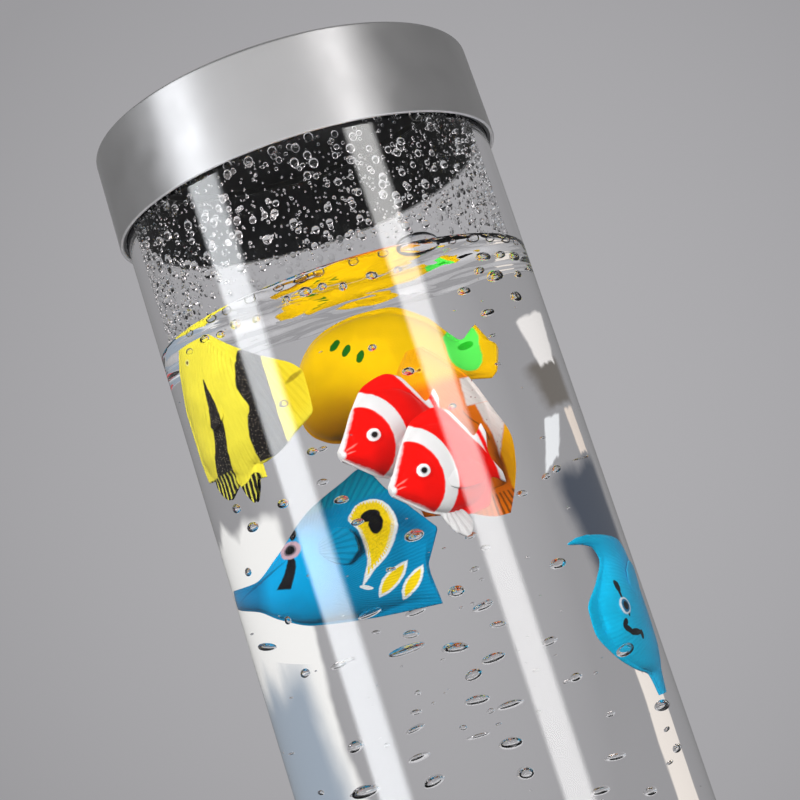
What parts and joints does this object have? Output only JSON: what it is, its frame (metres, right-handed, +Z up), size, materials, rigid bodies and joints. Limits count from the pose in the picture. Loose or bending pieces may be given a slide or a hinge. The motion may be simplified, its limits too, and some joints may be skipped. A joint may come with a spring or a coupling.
{
  "type": "bubble tube floor lamp",
  "caption": "Clear upright water tube on a round flared base with a lift-off cap; loose moulded fish drift among air bubbles lit from below.",
  "frame": {"origin": "on the floor under the middle of the base, at the underside of the rubber feet", "axes": "+Z up the tube, -Y the front with the mode button, +Y the back with the power inlet and rocker switch"},
  "size_m": [0.236, 0.236, 1.05],
  "materials": {
    "clear_acrylic": "gloss",
    "silver_plastic": "satin",
    "satin_aluminium": "satin",
    "black_plastic": "satin",
    "black_rubber": "matte",
    "screw_steel": "satin",
    "nozzle_chrome": "polished",
    "pin_brass": "satin",
    "light_board_white": "satin",
    "light_chip": "gloss",
    "circuit_green": "satin",
    "component_white": "satin",
    "porous_grey": "matte",
    "air_hose": "gloss",
    "valve_blue": "gloss",
    "rocker_red": "gloss",
    "lead_black": "satin",
    "lead_red": "satin",
    "fish_yellow_black": "gloss",
    "fish_yellow_green": "gloss",
    "fish_red_white": "gloss",
    "fish_orange_white": "gloss",
    "fish_blue_yellow": "gloss",
    "fish_light_blue_black": "gloss"
  },
  "bodies": {
    "lamp": {"tube": "clear_acrylic", "tube_plug": "clear_acrylic", "tube_seat": "black_rubber", "base_housing": "silver_plastic", "base_plate": "black_plastic", "rubber_feet": "black_rubber", "base_screws": "screw_steel", "collar_ring": "black_plastic", "collar_seal": "black_rubber", "collar_screws": "screw_steel", "light_board": "light_board_white", "light_chips": "light_chip", "light_screws": "screw_steel", "air_nozzle": "nozzle_chrome", "nozzle_washer": "black_rubber", "nozzle_nut": "screw_steel", "bubble_disc": "porous_grey", "air_hose_upper": "air_hose", "check_valve": "valve_blue", "air_hose_lower": "air_hose", "pump_body": "black_plastic", "pump_lid": "black_plastic", "pump_pillars": "black_rubber", "pump_screws": "screw_steel", "control_board": "circuit_green", "board_parts": "component_white", "board_screws": "screw_steel", "power_inlet": "black_plastic", "inlet_pin": "pin_brass", "inlet_nut": "screw_steel", "switch_case": "black_plastic", "button_sleeve": "silver_plastic", "button_switch": "black_plastic", "power_lead": "lead_black", "switch_lead": "lead_red", "pump_lead": "lead_black", "light_lead": "lead_black", "button_lead": "lead_black"},
    "cap": {"cap_shell": "satin_aluminium", "cap_liner": "black_plastic", "cap_gasket": "black_rubber"},
    "rocker": {"switch_rocker": "rocker_red"},
    "button": {"mode_button": "silver_plastic"},
    "butterfly_fish": {"fish_butterfly": "fish_yellow_black"},
    "yellow_fish": {"fish_yellow": "fish_yellow_green"},
    "red_upper_fish": {"fish_red_upper": "fish_red_white"},
    "red_lower_fish": {"fish_red_lower": "fish_red_white"},
    "orange_fish": {"fish_orange": "fish_orange_white"},
    "blue_fish": {"fish_blue": "fish_blue_yellow"},
    "light_blue_fish": {"fish_light_blue": "fish_light_blue_black"}
  },
  "joints": [
    {"name": "cap_lift", "type": "slide", "parent": "lamp", "child": "cap", "axis": [0, 0, 1], "range_m": [0, 0.06]},
    {"name": "rocker_tilt", "type": "hinge", "parent": "lamp", "child": "rocker", "pos_m": [0.011, 0.1142, 0.0165], "axis": [0, 0, 1], "range_deg": [0, 18]},
    {"name": "button_press", "type": "slide", "parent": "lamp", "child": "button", "axis": [0, 1, 0], "range_m": [0, 0.0012], "stiffness_N_per_m": 300},
    {"name": "butterfly_drift", "type": "slide", "parent": "lamp", "child": "butterfly_fish", "axis": [0, 0, 1], "range_m": [-0.81, 0]},
    {"name": "yellow_drift", "type": "slide", "parent": "lamp", "child": "yellow_fish", "axis": [0, 0, 1], "range_m": [-0.819, 0]},
    {"name": "red_upper_drift", "type": "slide", "parent": "lamp", "child": "red_upper_fish", "axis": [0, 0, 1], "range_m": [-0.798, 0.024]},
    {"name": "red_lower_drift", "type": "slide", "parent": "lamp", "child": "red_lower_fish", "axis": [0, 0, 1], "range_m": [-0.786, 0.036]},
    {"name": "orange_drift", "type": "slide", "parent": "lamp", "child": "orange_fish", "axis": [0, 0, 1], "range_m": [-0.789, 0.017]},
    {"name": "blue_drift", "type": "slide", "parent": "lamp", "child": "blue_fish", "axis": [0, 0, 1], "range_m": [-0.773, 0.043]},
    {"name": "light_blue_drift", "type": "slide", "parent": "lamp", "child": "light_blue_fish", "axis": [0, 0, 1], "range_m": [-0.735, 0.075]}
  ]
}
